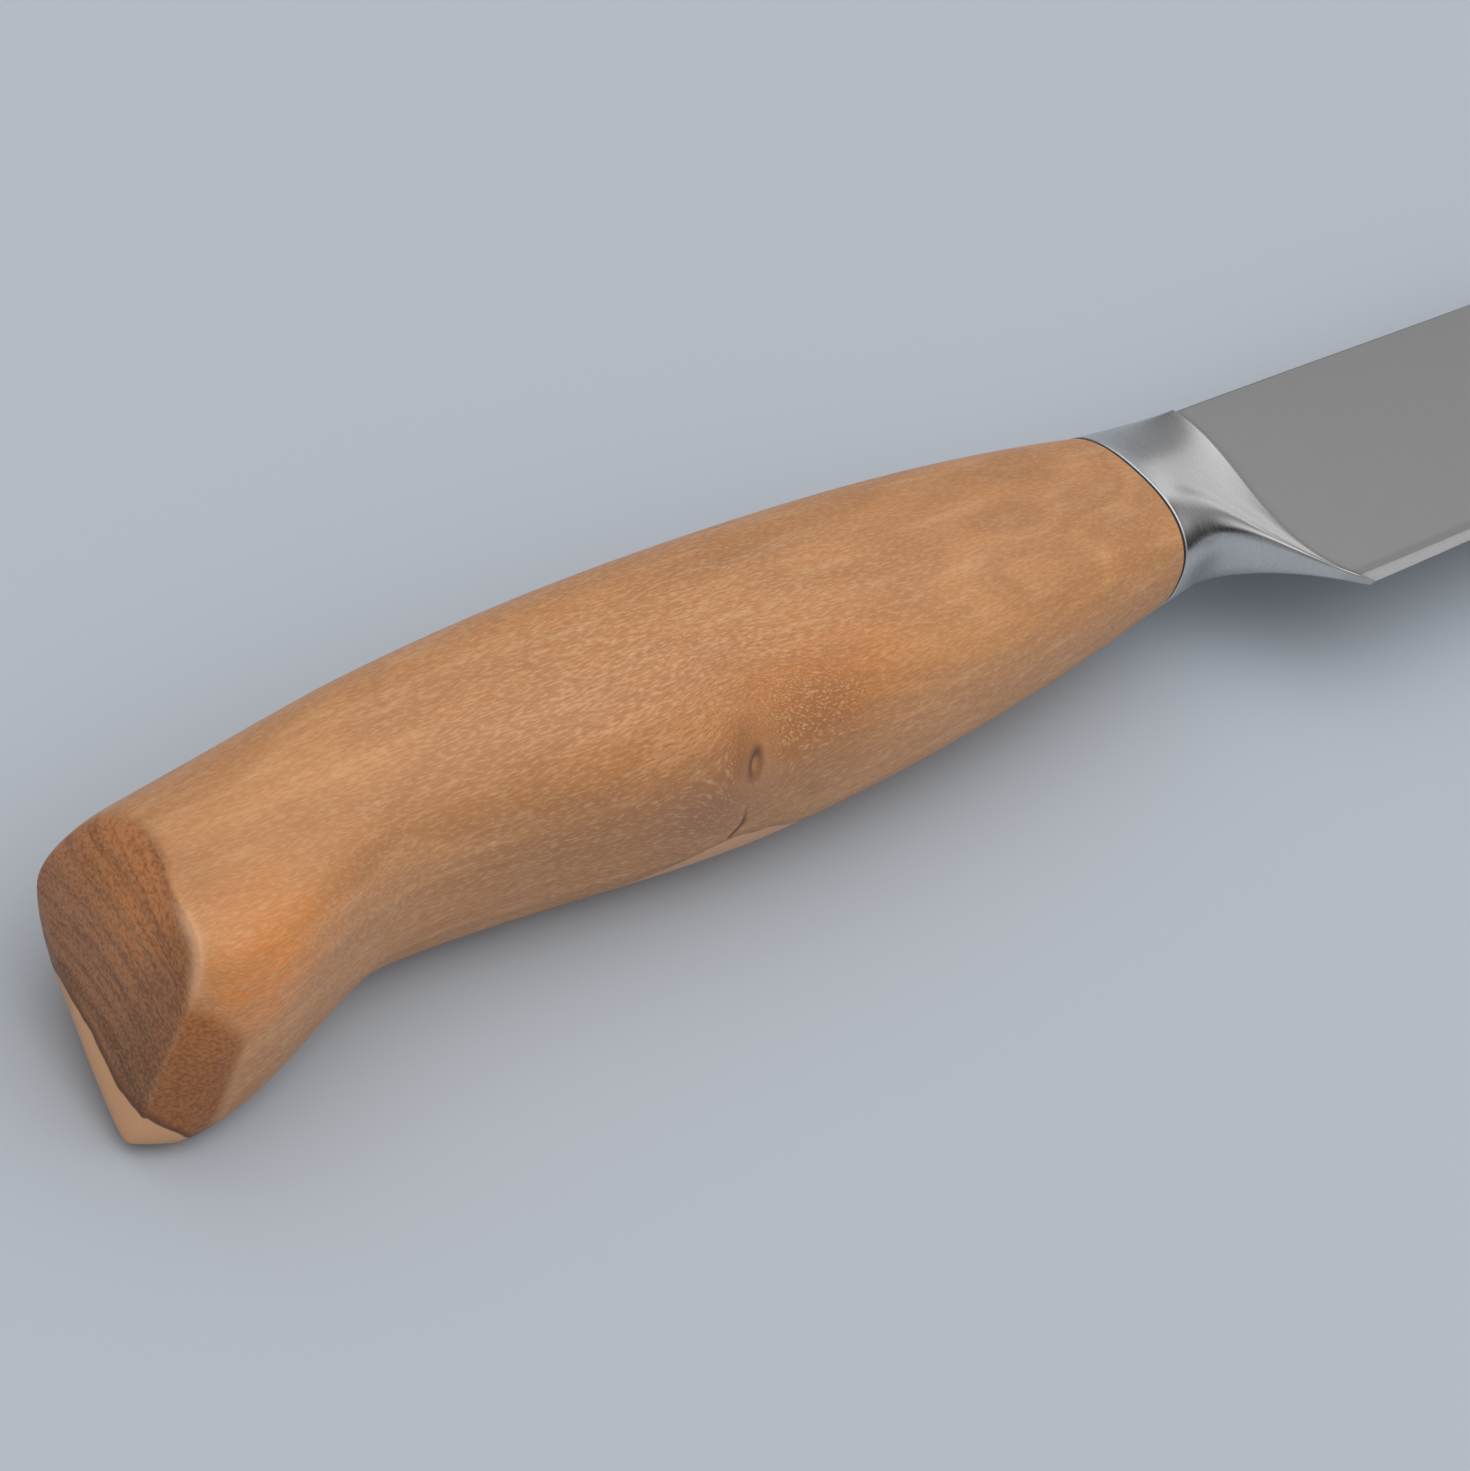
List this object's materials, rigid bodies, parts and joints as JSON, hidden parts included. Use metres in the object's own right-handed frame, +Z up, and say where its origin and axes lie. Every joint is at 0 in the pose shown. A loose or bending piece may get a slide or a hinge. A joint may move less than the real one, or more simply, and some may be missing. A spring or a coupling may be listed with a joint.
{
  "type": "paring knife",
  "caption": "Paring knife with a forged steel blade and bolster, a thin dark spacer and a swelling wooden handle that ends in a hooked butt.",
  "frame": {"origin": "under the middle of the knife's box, on the surface that it lies on", "axes": "+X along the knife to the tip, +Y across the blade to the spine, +Z up through the upper side of the blade"},
  "size_m": [0.2076, 0.0236, 0.0193],
  "materials": {
    "steel": "satin ground blade, brushed bolster",
    "fibre": "matt black fibre sheet",
    "wood": "oiled satin fruit wood with brown end grain",
    "resin": "cured adhesive, hidden in the handle"
  },
  "bodies": {
    "root": {"blade": "steel", "spacer": "fibre", "handle": "wood", "tang_adhesive": "resin"}
  },
  "joints": []
}
